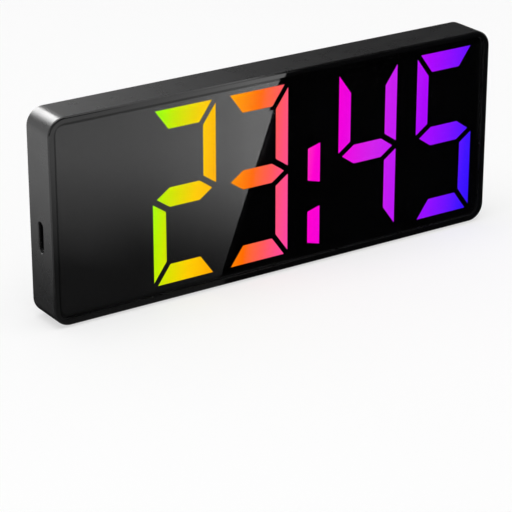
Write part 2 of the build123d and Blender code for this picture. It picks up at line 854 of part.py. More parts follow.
# One file for each piece
built = (
    front_housing,
    front_lens,
    lens_tape,
    segment_reflector,
    display_board,
    led_chips,
    reflector_screws,
    usb_shell,
    usb_tongue,
    rear_cover,
    cover_screws,
    switch_bodies,
    coin_cell,
    cell_holder,
    negative_spring,
    positive_clip,
    battery_door,
    buzzer,
    temperature_sensor,
    board_passives,
    crystal_can,
    rubber_feet,
)
pieces = {builder.part.label: builder.part for builder in built}
pieces.update(lit_parts)
pieces.update(button_parts)
pieces.update(chip_parts)
os.makedirs("parts", exist_ok=True)
for name, piece in pieces.items():
    piece.label = name
    export_step(piece, f"parts/{name}.step")
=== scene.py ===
from math import radians

import bmesh
import bpy
from mathutils import Matrix, Vector


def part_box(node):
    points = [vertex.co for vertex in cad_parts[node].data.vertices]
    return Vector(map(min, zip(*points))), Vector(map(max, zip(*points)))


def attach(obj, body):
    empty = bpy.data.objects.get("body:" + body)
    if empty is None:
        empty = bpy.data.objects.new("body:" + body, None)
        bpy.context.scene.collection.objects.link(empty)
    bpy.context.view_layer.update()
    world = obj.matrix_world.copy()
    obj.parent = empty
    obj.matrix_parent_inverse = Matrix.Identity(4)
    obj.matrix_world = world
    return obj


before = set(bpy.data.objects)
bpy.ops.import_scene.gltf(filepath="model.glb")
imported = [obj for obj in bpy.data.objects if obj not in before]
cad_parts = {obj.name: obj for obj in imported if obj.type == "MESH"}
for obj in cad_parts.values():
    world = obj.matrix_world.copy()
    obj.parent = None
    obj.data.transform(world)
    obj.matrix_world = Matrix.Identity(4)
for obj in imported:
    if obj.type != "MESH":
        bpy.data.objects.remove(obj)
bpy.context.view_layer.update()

# Front housing
# The open-backed case, one moulding in black ABS: satin spark-eroded walls, a polished rim round the lens.
# Handling has scuffed the outer edge of the rim, and the slot for the inlet runs through the left wall.

case_low, case_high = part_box("front_housing")
case_middle = (case_low + case_high) / 2
case_half = (case_high - case_low) / 2
case_corner = 0.0055
rim_front = case_low.y
rim_round = 0.0006
rim_flat = rim_round / 10  # the flat front of the rim ends this far back
rim_polish = rim_round / 6  # the polish is full up to here and gone where the round ends
rim_wear = 0.0008  # how far the scuffs reach from the outer edge
rim_roughness = (0.016, 0.030)
wall_roughness = (0.234, 0.297)  # on top of the rim's
scuff_size = 0.0015
scuff_cover = (0.25, 1.0)  # how much of the edge the scuffs bare
scuff_range = (0.35, 0.65)  # of the cloudy pattern that they follow
mottle_size = 0.004
gloss_size = 0.006
grain_size = 0.00025
grain_depth = 0.00001
wall_tones = ((0.0095, 0.0095, 0.0100), (0.0135, 0.0135, 0.0140))
rim_tone = (0.0028, 0.0028, 0.0030)
scuff_tone = (0.013, 0.013, 0.0135)
rim_tint = (0.6, 0.6, 0.6)
full_tint = (1.0, 1.0, 1.0)
cloud_start, cloud_end = 0.3, 0.7  # a cloudy pattern lies mostly between these


def finish(name):
    """A new finish, with one shader for its looks to come together in."""
    material = bpy.data.materials.new(name)
    material.use_nodes = True
    return material


def feed(socket, value):
    """Joins another socket to this one, or sets it to a plain number or colour."""
    if isinstance(value, bpy.types.NodeSocket):
        socket.id_data.links.new(value, socket)
    elif isinstance(value, tuple):
        socket.default_value = (*value, 1.0)
    else:
        socket.default_value = value


def paint(material, **looks):
    """Sets the looks of a finish: each is a socket that varies, or one value for the whole piece."""
    sockets = {
        "colour": "Base Color",
        "roughness": "Roughness",
        "metallic": "Metallic",
        "surface": "Normal",
        "mirror": "Specular IOR Level",
        "mirror_tint": "Specular Tint",
        "bending": "IOR",
        "cover": "Alpha",
        "glow": "Emission Color",
        "glow_strength": "Emission Strength",
    }
    for look, value in looks.items():
        feed(material.node_tree.nodes["Principled BSDF"].inputs[sockets[look]], value)


def place(material):
    """The object's own coordinates, in metres."""
    return material.node_tree.nodes.new("ShaderNodeTexCoord").outputs["Object"]


def along_axes(material):
    """The object's own coordinates as three sockets, X, Y and Z."""
    split = material.node_tree.nodes.new("ShaderNodeSeparateXYZ")
    feed(split.inputs["Vector"], place(material))
    return split.outputs


def calc(operation, *values):
    """One step of arithmetic on sockets and plain numbers."""
    tree = next(value.id_data for value in values if isinstance(value, bpy.types.NodeSocket))
    step = tree.nodes.new("ShaderNodeMath")
    step.operation = operation
    for socket, value in zip(step.inputs, values):
        feed(socket, value)
    return step.outputs["Value"]


def product(first, *others):
    """Several values multiplied together."""
    for other in others:
        first = calc("MULTIPLY", first, other)
    return first


def offset(value, middle):
    """How far a value lies from a middle, either way."""
    return calc("ABSOLUTE", calc("SUBTRACT", value, middle))


def span(across, up):
    """Length of the straight line over two legs."""
    squares = [calc("POWER", calc("ABSOLUTE", leg), 2.0) for leg in (across, up)]
    return calc("SQRT", calc("ADD", *squares))


def clouds(material, size, detail, stretch=(1, 1, 1)):
    """Cloudy pattern with blots of this size, drawn out along an axis by stretch."""
    mapping = material.node_tree.nodes.new("ShaderNodeMapping")
    mapping.inputs["Scale"].default_value = [1 / length for length in stretch]
    feed(mapping.inputs["Vector"], place(material))
    texture = material.node_tree.nodes.new("ShaderNodeTexNoise")
    feed(texture.inputs["Scale"], 1 / size)
    feed(texture.inputs["Detail"], detail)
    feed(texture.inputs["Vector"], mapping.outputs["Vector"])
    return texture.outputs["Fac"]


def spread(pattern, low, high, start=cloud_start, end=cloud_end):
    """The pattern's range from start to end, laid out between two values."""
    step = pattern.id_data.nodes.new("ShaderNodeMapRange")
    feed(step.inputs["Value"], pattern)
    feed(step.inputs["From Min"], start)
    feed(step.inputs["From Max"], end)
    feed(step.inputs["To Min"], low)
    feed(step.inputs["To Max"], high)
    return step.outputs["Result"]


def tones(pattern, *stops):
    """Colours along a pattern: each stop is a place from 0 to 1 and a linear colour."""
    ramp = pattern.id_data.nodes.new("ShaderNodeValToRGB")
    points = ramp.color_ramp.elements
    while len(points) < len(stops):
        points.new(1.0)
    for point, (at, colour) in zip(points, stops):
        point.position = at
        point.color = (*colour, 1.0)
    feed(ramp.inputs["Fac"], pattern)
    return ramp.outputs["Color"]


def mottled(pattern, dark, light):
    """Two tones of one colour, the dark one where a cloudy pattern is low."""
    return tones(pattern, (cloud_start, dark), (cloud_end, light))


def over(mask, under, upper):
    """One colour laid over another where the mask is 1."""
    mix = mask.id_data.nodes.new("ShaderNodeMix")
    mix.data_type = "RGBA"
    first_colour, second_colour = mix.inputs[6:8]  # after those of the node's other kinds of data
    feed(mix.inputs["Factor"], mask)
    feed(first_colour, under)
    feed(second_colour, upper)
    return mix.outputs[2]


def raised(pattern, depth):
    """The surface, raised by the pattern to this depth."""
    bump = pattern.id_data.nodes.new("ShaderNodeBump")
    feed(bump.inputs["Strength"], 1.0)
    feed(bump.inputs["Distance"], depth)
    feed(bump.inputs["Height"], pattern)
    return bump.outputs["Normal"]


def near_edge(material, middle, half, corner, inner, outer):
    """Rises from 0 to 1 across a band inside a rounded oblong seen from the front."""
    axes = along_axes(material)
    past = []
    for place_on_axis, centre, side in ((axes["X"], middle.x, half.x), (axes["Z"], middle.z, half.z)):
        past_side = calc("SUBTRACT", offset(place_on_axis, centre), side - corner)
        past.append(calc("MAXIMUM", past_side, 0.0))
    return spread(span(*past), 0.0, 1.0, corner - inner, corner - outer)


def dress(material, *names):
    """Gives CAD nodes their finish."""
    for name in names:
        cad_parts[name].material_slots[0].material = material


case_black = finish("case_black")
case_y = along_axes(case_black)["Y"]
near_outline = near_edge(case_black, case_middle, case_half, case_corner, rim_wear, 0.0)
near_front = spread(case_y, 1.0, 0.0, rim_front, rim_front + rim_wear)
scuffs = spread(clouds(case_black, scuff_size, detail=4.0), *scuff_cover, *scuff_range)
worn = product(near_outline, near_front, scuffs)
polished = spread(case_y, 1.0, 0.0, rim_front + rim_polish, rim_front + rim_round)
on_flat = spread(case_y, 1.0, 0.0, rim_front, rim_front + rim_flat)
satin = calc("SUBTRACT", 1.0, polished)
case_mottle = clouds(case_black, mottle_size, detail=4.0)
case_tone = over(polished, mottled(case_mottle, *wall_tones), rim_tone)
wall_gloss = product(satin, spread(clouds(case_black, gloss_size, detail=4.0), *wall_roughness))
wall_grain = product(satin, clouds(case_black, grain_size, detail=3.0))
paint(
    case_black,
    colour=over(worn, case_tone, scuff_tone),
    roughness=calc("ADD", wall_gloss, spread(case_mottle, *rim_roughness)),
    mirror_tint=over(on_flat, full_tint, rim_tint),
    surface=raised(wall_grain, grain_depth),
)
dress(case_black, "front_housing")

# Lens tape
# A die-cut frame of black foam tape between the ledge of the case and the lens.
# Its skin is pressed smooth against the lens, so it is as glossy as the plate beside it.

haze_size = 0.02
haze_stretch = (3, 1, 1)
piano_tones = ((0.0010, 0.0010, 0.0011), (0.0022, 0.0022, 0.0024))
piano_roughness = (0.008, 0.014)


def piano_black(name, mirror=0.72):
    """Polished black with a faint haze in its gloss."""
    material = finish(name)
    haze = clouds(material, haze_size, detail=5.0, stretch=haze_stretch)
    paint(
        material,
        colour=mottled(haze, *piano_tones),
        roughness=spread(haze, *piano_roughness),
        mirror=mirror,
    )
    return material


tape_black = piano_black("tape_black")
dress(tape_black, "lens_tape")

# Front lens
# The smoked acrylic pane, cut from cast sheet with polished faces and taped into the case.
# Wiping has left a faint smear in its gloss, which a coat against glare keeps low.

lens_tones = ((0.0012, 0.0012, 0.0014), (0.0024, 0.0024, 0.0026))
lens_roughness = (0.010, 0.020)

lens_smoke = finish("lens_smoke")
lens_smear = clouds(lens_smoke, haze_size, detail=5.0, stretch=haze_stretch)
paint(
    lens_smoke,
    colour=mottled(lens_smear, *lens_tones),
    roughness=spread(lens_smear, *lens_roughness),
    bending=1.49,
    mirror=0.08,
    cover=0.15,
)
dress(lens_smoke, "front_lens")

# Lens border
# A black frame of ink printed on the back of the pane, which hides the tape and the gap beside the display.
# It is as glossy as the plate seen through the acrylic, but along the edge of the pane its reflection is
# dimmed in a band of painted shade, for the shade of the rim over the gap.

border_width = 0.00185
border_thickness = 0.00002
border_depth = 0.00003  # from the back of the pane to the front of the ink
border_margin = 0.00005  # from the edge of the pane
painted_shade_width = 0.00098  # width of the band of painted shade
painted_shade_full = painted_shade_width * 0.92  # where the painted shade is at its darkest
painted_shade_tint = (0.45, 0.45, 0.45)
lens_low, lens_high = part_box("front_lens")
lens_middle = (lens_low + lens_high) / 2
border_half = (lens_high - lens_low) / 2 - Vector((border_margin, 0, border_margin))
border_corner = case_corner - (case_half.x - border_half.x)

border_ink = piano_black("border_ink", mirror=0.52)
# Painted shade: the ink's reflection is dimmed along the edge of the pane, where the rim's shade falls.
painted_shade_band = near_edge(border_ink, lens_middle, border_half, border_corner, painted_shade_width, painted_shade_full)
paint(border_ink, mirror_tint=over(painted_shade_band, full_tint, painted_shade_tint))

border_shape = bmesh.new()
bmesh.ops.create_grid(border_shape, x_segments=1, y_segments=1, size=1)
bmesh.ops.scale(border_shape, vec=(border_half.x, border_half.z, 1), verts=border_shape.verts)
bmesh.ops.bevel(
    border_shape,
    geom=border_shape.verts[:],
    offset=border_corner,
    segments=10,
    profile=0.5,
    affect="VERTICES",
    material=-1,
)
pane_face = border_shape.faces[:]
bmesh.ops.inset_region(
    border_shape, faces=pane_face, thickness=border_width, use_even_offset=True, use_boundary=True
)
bmesh.ops.delete(border_shape, geom=pane_face, context="FACES")
bmesh.ops.solidify(border_shape, geom=border_shape.faces[:], thickness=border_thickness)
bmesh.ops.rotate(border_shape, verts=border_shape.verts, matrix=Matrix.Rotation(radians(90), 3, "X"))
border_front = min(vert.co.y for vert in border_shape.verts)
border_place = Vector((lens_middle.x, lens_high.y - border_depth - border_front, lens_middle.z))
bmesh.ops.translate(border_shape, verts=border_shape.verts, vec=border_place)
bmesh.ops.recalc_face_normals(border_shape, faces=border_shape.faces)
border_mesh = bpy.data.meshes.new("lens_border")
border_shape.to_mesh(border_mesh)
border_shape.free()
border_mesh.materials.append(border_ink)
lens_border = bpy.data.objects.new("lens_border", border_mesh)
bpy.context.scene.collection.objects.link(lens_border)
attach(lens_border, "clock")

# Segment reflector
# A black moulding with one tapered light well for each segment, screwed to the board.
# Its front plate is polished, so it mirrors the room behind the lens and the dark segments vanish in it.

reflector_black = piano_black("reflector_black")
dress(reflector_black, "segment_reflector")

# Lit segments
# Milky diffusers pressed into the wells of the segments that show 23:45, lit from behind.
# The light runs from lime on the left through orange, pink and magenta to violet on the right.

lit_segments = [
    "hour_tens_segments",
    "hour_units_segments",
    "colon_segments",
    "minute_tens_segments",
    "minute_units_segments",
]
millimetre = 0.001
rainbow_slant = 0.13  # the colours lean: each metre down moves them this far along
rainbow = [  # millimetres from the left end of the case, and screen levels
    (35.0, (160, 250, 10)),
    (38.0, (188, 238, 0)),
    (50.0, (252, 204, 0)),
    (62.0, (255, 152, 0)),
    (70.0, (254, 107, 0)),
    (77.0, (254, 90, 90)),
    (84.0, (254, 75, 147)),
    (93.0, (251, 0, 204)),
    (103.0, (236, 0, 219)),
    (116.0, (206, 34, 234)),
    (134.0, (170, 6, 249)),
    (144.0, (132, 14, 253)),
    (154.0, (64, 19, 253)),
    (158.0, (48, 12, 250)),
]
frost_size = 0.0012
milk_share = (0.12, 0.2)  # of the glow in the diffuser's own colour
diffuser_black = (0.003, 0.003, 0.003)


def linear(level):
    """A screen level from 0 to 255 as linear light."""
    share = level / 255
    return share / 12.92 if share <= 0.04045 else ((share + 0.055) / 1.055) ** 2.4


def leaning(along, across, slope):
    """A place along one axis, moved on by the slope for each metre of another."""
    return calc("MULTIPLY_ADD", across, slope, along)


lit_light = finish("lit_light")
lit_axes = along_axes(lit_light)
below_middle = calc("SUBTRACT", case_middle.z, lit_axes["Z"])
lit_run = leaning(lit_axes["X"], below_middle, rainbow_slant)
rainbow_stops = []
for distance, levels in rainbow:
    stop_colour = tuple(linear(level) for level in levels)
    rainbow_stops.append((distance * millimetre / (2 * case_half.x), stop_colour))
glow = tones(spread(lit_run, 0.0, 1.0, case_low.x, case_high.x), *rainbow_stops)
lit_frost = clouds(lit_light, frost_size, detail=3.0)
paint(
    lit_light,
    colour=over(spread(lit_frost, *milk_share), diffuser_black, glow),
    roughness=spread(lit_frost, 0.5, 0.65),
    mirror=0.0,
    glow=glow,
    glow_strength=1.32,
)
dress(lit_light, *lit_segments)

# Unlit segments
# The diffusers that are dark at 23:45, in the same polished black as the plate round them.
# They close the wells that carry no light and stay unseen behind the lens.

unlit_black = piano_black("unlit_black")
dress(unlit_black, "unlit_segments")

# Display board
# Glass-fibre board under a green mask, with copper tracks that show through it as lighter lines.
# It carries the lights on its front and the electronics, keys and cell on its rear.

track_cells = 260.0  # meshes of the net of tracks, in a metre
track_width = (0.05, 0.09)  # of a mesh: full copper, and none
track_height = 0.00003
weave_size = 0.0006
mask_tones = ((0.004, 0.045, 0.018), (0.006, 0.060, 0.024))
copper_tone = (0.012, 0.130, 0.045)

board_green = finish("board_green")
tracks = board_green.node_tree.nodes.new("ShaderNodeTexVoronoi")
tracks.feature = "DISTANCE_TO_EDGE"
feed(tracks.inputs["Scale"], track_cells)
feed(tracks.inputs["Randomness"], 0.55)
feed(tracks.inputs["Vector"], place(board_green))
copper = spread(tracks.outputs["Distance"], 1.0, 0.0, *track_width)
board_weave = clouds(board_green, weave_size, detail=3.0, stretch=(1, 1, 4))
paint(
    board_green,
    colour=over(copper, mottled(board_weave, *mask_tones), copper_tone),
    roughness=spread(board_weave, 0.28, 0.42),
    surface=raised(copper, track_height),
)
dress(board_green, "display_board")

# Light chips
# Surface-mount lamps, white ceramic cups filled with yellow phosphor: two to a segment, one to a colon bar.
# They are reflow soldered to the front of the board, at the foot of the wells.

chip_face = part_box("led_chips")[0].y
phosphor_depth = 0.00012
phosphor_yellow = (0.78, 0.62, 0.12)
cup_tones = ((0.70, 0.68, 0.62), (0.82, 0.80, 0.75))
cup_frost_size = 0.0002

chip_white = finish("chip_white")
phosphor = spread(along_axes(chip_white)["Y"], 1.0, 0.0, chip_face, chip_face + phosphor_depth)
cup_frost = clouds(chip_white, cup_frost_size, detail=2.0)
paint(
    chip_white,
    colour=over(phosphor, mottled(cup_frost, *cup_tones), phosphor_yellow),
    roughness=spread(cup_frost, 0.35, 0.55),
)
dress(chip_white, "led_chips")

# Reflector screws
# Four zinc-plated pan-head screws through the board into the bosses of the reflector.
# The zinc is a little cloudy, and its gloss is finely uneven.

plate_haze = 0.0012
plate_lines = 6  # how much finer the lines in the gloss are than the haze
plate_relief = 0.000004


def plated(name, dark, light, roughness, stretch=(1, 1, 1), blot_size=plate_haze):
    """Plated or drawn metal: cloudy tone and a fine pattern in its gloss, drawn out by stretch."""
    material = finish(name)
    haze = clouds(material, blot_size, detail=3.0)
    lines = clouds(material, blot_size / plate_lines, detail=2.0, stretch=stretch)
    paint(
        material,
        colour=mottled(haze, dark, light),
        roughness=spread(lines, *roughness),
        metallic=1.0,
        surface=raised(lines, plate_relief),
    )
    return material


screw_zinc = plated("screw_zinc", (0.42, 0.43, 0.45), (0.60, 0.61, 0.62), (0.22, 0.40))
dress(screw_zinc, "reflector_screws")

# USB-C inlet
# A drawn steel shell, darkened inside with painted shade, soldered by its ears into a notch of the board,
# behind the case's slot.
# A black moulded tongue stands in it on a back block and carries gold contact strips on both faces.

shell_length, shell_width, shell_wall = 0.00894, 0.00326, 0.0003
shell_painted_shade = (0.045, 0.045, 0.047)
contact_pitch = 0.0005
contact_half = 0.27  # half a contact, of the pitch
contact_start, contact_end = 0.0006, 0.0036  # from the tip of the tongue
contact_gold = (0.80, 0.52, 0.18)
tongue_tones = ((0.008, 0.008, 0.008), (0.014, 0.014, 0.014))
tongue_roughness, contact_roughness = 0.48, 0.24
tongue_mottle_size = 0.002
tongue_low, tongue_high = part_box("usb_tongue")
inlet_middle = (tongue_low + tongue_high) / 2


def stamp(material, mask, colour):
    """Lays another colour over the finish where the mask is 1."""
    under = material.node_tree.nodes["Principled BSDF"].inputs["Base Color"].links[0].from_socket
    paint(material, colour=over(mask, under, colour))


shell_steel = plated("shell_steel", (0.36, 0.36, 0.37), (0.50, 0.50, 0.51), (0.25, 0.42), (14, 1, 1))
shell_axes = along_axes(shell_steel)
past_straight = calc("SUBTRACT", offset(shell_axes["Z"], inlet_middle.z), (shell_length - shell_width) / 2)
shell_aside = calc("SUBTRACT", shell_axes["Y"], inlet_middle.y)
shell_reach = span(calc("MAXIMUM", past_straight, 0.0), shell_aside)
shell_inside = calc("LESS_THAN", shell_reach, (shell_width - shell_wall) / 2)
# Painted shade: the inside of the shell is coloured dark, for the shade deep in the slot.
stamp(shell_steel, shell_inside, shell_painted_shade)
dress(shell_steel, "usb_shell")

tongue_black = finish("tongue_black")
tongue_axes = along_axes(tongue_black)
contact_turn = calc("FRACT", calc("DIVIDE", tongue_axes["Z"], contact_pitch))
in_strip = calc("LESS_THAN", offset(contact_turn, 0.5), contact_half)
behind_tip = calc("GREATER_THAN", tongue_axes["X"], tongue_low.x + contact_start)
before_block = calc("LESS_THAN", tongue_axes["X"], tongue_low.x + contact_end)
gold = product(in_strip, behind_tip, before_block)
tongue_mottle = clouds(tongue_black, tongue_mottle_size, detail=3.0)
paint(
    tongue_black,
    colour=over(gold, mottled(tongue_mottle, *tongue_tones), contact_gold),
    roughness=spread(gold, tongue_roughness, contact_roughness, 0.0, 1.0),
    metallic=gold,
    surface=raised(clouds(tongue_black, grain_size, detail=3.0), grain_depth),
)
dress(tongue_black, "usb_tongue")

# Chips, passives and crystal
# Two black epoxy packages with tinned leads, a row of small ceramic parts and a plated steel can.
# All are reflow soldered to the rear of the board.

package_half = 0.00197  # of the epoxy, beyond which the leads stand out
package_tones = ((0.010, 0.010, 0.011), (0.020, 0.020, 0.021))
package_grain_size = 0.0003
lead_tin = (0.55, 0.55, 0.56)
ceramic_tones = ((0.20, 0.13, 0.07), (0.30, 0.21, 0.12))
ceramic_blot_size = 0.0004
package_low, package_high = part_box("clock_chip")
package_middle = (package_low + package_high) / 2

chip_epoxy = finish("chip_epoxy")
tinned = calc("GREATER_THAN", offset(along_axes(chip_epoxy)["Z"], package_middle.z), package_half)
package_grain = clouds(chip_epoxy, package_grain_size, detail=3.0)
paint(
    chip_epoxy,
    colour=over(tinned, mottled(package_grain, *package_tones), lead_tin),
    roughness=spread(package_grain, 0.38, 0.6),
    metallic=tinned,
    surface=raised(package_grain, grain_depth),
)
dress(chip_epoxy, "clock_chip", "led_driver")

passive_ceramic = finish("passive_ceramic")
ceramic_blots = clouds(passive_ceramic, ceramic_blot_size, detail=3.0)
paint(
    passive_ceramic,
    colour=mottled(ceramic_blots, *ceramic_tones),
    roughness=spread(ceramic_blots, 0.45, 0.65),
)
dress(passive_ceramic, "board_passives")

crystal_steel = plated("crystal_steel", (0.50, 0.50, 0.50), (0.66, 0.66, 0.65), (0.18, 0.34), (1, 1, 12))
dress(crystal_steel, "crystal_can")

# Temperature sensor
# A thermistor bead on two wire legs, dipped in dark epoxy and standing off the board behind the vents.
# The dip leaves a glossy, slightly uneven skin.

dip_size = 0.0007
dip_depth = 0.00008
dip_tones = ((0.012, 0.008, 0.006), (0.030, 0.018, 0.012))

sensor_epoxy = finish("sensor_epoxy")
sensor_skin = clouds(sensor_epoxy, dip_size, detail=3.0)
paint(
    sensor_epoxy,
    colour=mottled(sensor_skin, *dip_tones),
    roughness=spread(sensor_skin, 0.15, 0.3),
    surface=raised(sensor_skin, dip_depth),
)
dress(sensor_epoxy, "temperature_sensor")

# Buzzer
# A round alarm sounder in a black moulded case with a hole in its lid, soldered to the board.
# It sits behind the ring of sound holes in the rear cover.

small_grain = 0.0003


def moulded(name, dark, light, roughness, grain=small_grain, depth=grain_depth):
    """Black moulded plastic: faint mottle, uneven gloss and the fine grain of the tool."""
    material = finish(name)
    mottle = clouds(material, mottle_size, detail=4.0)
    paint(
        material,
        colour=mottled(mottle, dark, light),
        roughness=spread(mottle, *roughness),
        surface=raised(clouds(material, grain, detail=3.0), depth),
    )
    return material


buzzer_black = moulded("buzzer_black", (0.010, 0.010, 0.010), (0.018, 0.018, 0.018), (0.35, 0.5))
dress(buzzer_black, "buzzer")

# Key switches
# Four tact switches with black moulded bodies, soldered to the board.
# A round stem stands out of each one and clicks when the push button presses it.

switch_black = moulded("switch_black", (0.009, 0.009, 0.010), (0.016, 0.016, 0.017), (0.4, 0.55))
dress(switch_black, "switch_bodies")
stem_black = moulded("stem_black", (0.014, 0.014, 0.015), (0.022, 0.022, 0.023), (0.3, 0.42))
dress(stem_black, "plunger_mode", "plunger_up", "plunger_down", "plunger_alarm")

# Cell holder and springs
# A black moulded ring on the board that keeps the backup cell, a nickel-plated leaf under the cell
# and a bent clip of the same strip that bears on its rim.

holder_black = moulded("holder_black", (0.010, 0.010, 0.010), (0.016, 0.016, 0.016), (0.45, 0.6))
dress(holder_black, "cell_holder")
spring_nickel = plated("spring_nickel", (0.55, 0.53, 0.48), (0.70, 0.68, 0.62), (0.2, 0.36), (16, 1, 1))
dress(spring_nickel, "negative_spring", "positive_clip")

# Backup cell
# A bare steel coin cell, 20 by 3.2 mm, drawn in two cups and crimped together.
# The rolled strip that it is drawn from leaves fine upright lines in its gloss.

cell_haze = 0.0018

cell_steel = plated("cell_steel", (0.46, 0.46, 0.46), (0.62, 0.62, 0.61), (0.2, 0.36), (1, 1, 20), cell_haze)
dress(cell_steel, "coin_cell")

# Rear cover
# A flat black moulding let into the back of the case, with holes for buttons, door, sound and air.
# Its grain is coarser than the case's, and grey is rolled onto two raised marks: door shut and door free.

coarse_grain = 0.00045
coarse_depth = 0.00003
cover_tones = ((0.010, 0.010, 0.0105), (0.017, 0.017, 0.0175))
mark_grey = (0.36, 0.36, 0.36)
ink_patch_size = 0.0004
ink_patches = (0.7, 1.0)  # how well the ink covers
print_depth = 0.0001  # ink lies only on what is this near to the highest face


def stamp_raised(material, node):
    """Rolls grey ink onto whatever stands highest on the rear of a piece."""
    highest = calc("GREATER_THAN", along_axes(material)["Y"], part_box(node)[1].y - print_depth)
    patchy = spread(clouds(material, ink_patch_size, detail=3.0), *ink_patches)
    stamp(material, product(highest, patchy), mark_grey)


cover_black = moulded("cover_black", *cover_tones, (0.46, 0.58), coarse_grain, coarse_depth)
stamp_raised(cover_black, "rear_cover")
dress(cover_black, "rear_cover")

# Cover screws
# Four blackened countersunk screws that hold the cover in the corner pads of the case.
# The black oxide is a little cloudy, and its gloss is finely uneven.

screw_black = plated("screw_black", (0.060, 0.060, 0.062), (0.110, 0.110, 0.112), (0.28, 0.42))
dress(screw_black, "cover_screws")

# Battery door
# A round black bayonet door over the cell, moulded like the cover and turned by a coin in its slot.
# A raised arrow near its edge, rolled with grey ink, points at the marks on the cover.

door_black = moulded("door_black", *cover_tones, (0.42, 0.54), coarse_grain, coarse_depth)
stamp_raised(door_black, "battery_door")
dress(door_black, "battery_door")

# Push buttons
# Four black moulded keys that stand out of the cover, each with a pad-printed grey sign on its top.
# They are a ring for the mode, plus and minus for up and down, and a bell for the alarm.

button_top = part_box("button_mode")[1].y
key_tones = ((0.011, 0.011, 0.0115), (0.018, 0.018, 0.0185))
key_roughness = (0.38, 0.5)
sign_grey = (0.42, 0.42, 0.42)
stroke_half = 0.00022
bar_half = 0.0013
ring_radius = 0.0011
bell_rise = 0.0003  # from the middle of the key to the foot of the dome
bell_radius = 0.0009
bell_flare = 0.35  # how fast the skirt widens downwards
skirt_half = 0.0006  # half its height
clapper_drop = 0.0016  # below the foot of the dome
clapper_radius = 0.00028


def within(across, up, half_across, half_up):
    """1 inside an upright oblong about the middle."""
    wide = calc("LESS_THAN", calc("ABSOLUTE", across), half_across)
    high = calc("LESS_THAN", calc("ABSOLUTE", up), half_up)
    return product(wide, high)


def ring_sign(across, up):
    """A circle drawn with an even stroke."""
    return calc("LESS_THAN", offset(span(across, up), ring_radius), stroke_half)


def minus_sign(across, up):
    """A level bar."""
    return within(across, up, bar_half, stroke_half)


def plus_sign(across, up):
    """A level and an upright bar."""
    return calc("MAXIMUM", minus_sign(across, up), within(across, up, stroke_half, bar_half))


def bell_sign(across, up):
    """A dome on a flared skirt, with a clapper under it."""
    lifted = calc("SUBTRACT", up, bell_rise)
    in_round = calc("LESS_THAN", span(across, lifted), bell_radius)
    dome = product(in_round, calc("GREATER_THAN", lifted, 0.0))
    flare = calc("SUBTRACT", bell_radius, product(lifted, bell_flare))
    skirt = within(across, calc("ADD", lifted, skirt_half), flare, skirt_half)
    clapper = calc("LESS_THAN", span(across, calc("ADD", lifted, clapper_drop)), clapper_radius)
    return calc("MAXIMUM", calc("MAXIMUM", dome, skirt), clapper)


def printed_key(name, sign):
    """Black key with a grey sign printed on its top face."""
    material = moulded(name + "_key", *key_tones, key_roughness)
    low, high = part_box(name)
    middle = (low + high) / 2
    axes = along_axes(material)
    across = calc("SUBTRACT", axes["X"], middle.x)
    up = calc("SUBTRACT", axes["Z"], middle.z)
    on_top = calc("GREATER_THAN", axes["Y"], button_top - print_depth)
    stamp(material, product(sign(across, up), on_top), sign_grey)
    dress(material, name)


printed_key("button_mode", ring_sign)
printed_key("button_up", plus_sign)
printed_key("button_down", minus_sign)
printed_key("button_alarm", bell_sign)

# Rubber feet
# Two die-cut strips of black rubber, stuck into shallow recesses under the case.
# The sheet they are cut from has a fine pebbled face.

pebble_size = 0.0005
pebble_height = 0.00008
rubber_tones = ((0.010, 0.010, 0.010), (0.022, 0.022, 0.022))

foot_rubber = finish("foot_rubber")
foot_pebbles = clouds(foot_rubber, pebble_size, detail=2.0)
paint(
    foot_rubber,
    colour=mottled(foot_pebbles, *rubber_tones),
    roughness=spread(foot_pebbles, 0.7, 0.9),
    surface=raised(foot_pebbles, pebble_height),
)
dress(foot_rubber, "rubber_feet")

# Studio
# A pale floor under an overhead softbox and an even sky, both seen as plain white.
# Reflection cards, seen in gloss alone, draw the light in the lens and along the edges of the case.

floor_half = 3.0
floor_level = -0.0001
floor_haze_size = 0.2
floor_tones = ((0.94, 0.94, 0.94), (0.96, 0.96, 0.96))
floor_white_share = 0.6  # of plain white in what is seen of the floor
sky_strength, seen_sky_strength = 0.5, 1.0
sky_colour = (1.0, 1.0, 1.0)
softbox_size = 1.4
softbox_power = 17.0
softbox_place = (-0.3, -0.2, 1.6)


def flat(left, right, near, far, height):
    """Corners of a level oblong."""
    return [(left, near, height), (right, near, height), (right, far, height), (left, far, height)]


def upright(left, right, low, high, back):
    """Corners of an oblong that stands across the view, this far back."""
    return [(left, back, low), (right, back, low), (right, back, high), (left, back, high)]


def sheet_of(name, corners, material):
    """A flat stage piece through these corners."""
    shape = bmesh.new()
    shape.faces.new([shape.verts.new(corner) for corner in corners])
    mesh = bpy.data.meshes.new(name)
    shape.to_mesh(mesh)
    shape.free()
    piece = bpy.data.objects.new(name, mesh)
    bpy.context.scene.collection.objects.link(piece)
    mesh.materials.append(material)
    return piece


def seen_directly(owner):
    """1 for rays of the camera, of gloss and of glass, which show the plain white studio."""
    rays = owner.node_tree.nodes.new("ShaderNodeLightPath").outputs
    seen = calc("MAXIMUM", rays["Is Camera Ray"], rays["Is Glossy Ray"])
    return calc("MAXIMUM", seen, rays["Is Transmission Ray"])


def blended(share, first, second):
    """Two shaders in one, where a share of 1 is all of the second."""
    mix = share.id_data.nodes.new("ShaderNodeMixShader")
    feed(mix.inputs["Fac"], share)
    feed(mix.inputs[1], first)
    feed(mix.inputs[2], second)
    return mix.outputs["Shader"]


def aimed(data, location, target):
    """Hangs a lamp or a camera so that it faces the target."""
    holder = bpy.data.objects.new(data.name, data)
    holder.location = location
    holder.rotation_euler = (Vector(target) - Vector(location)).to_track_quat("-Z", "Y").to_euler()
    bpy.context.scene.collection.objects.link(holder)
    return holder


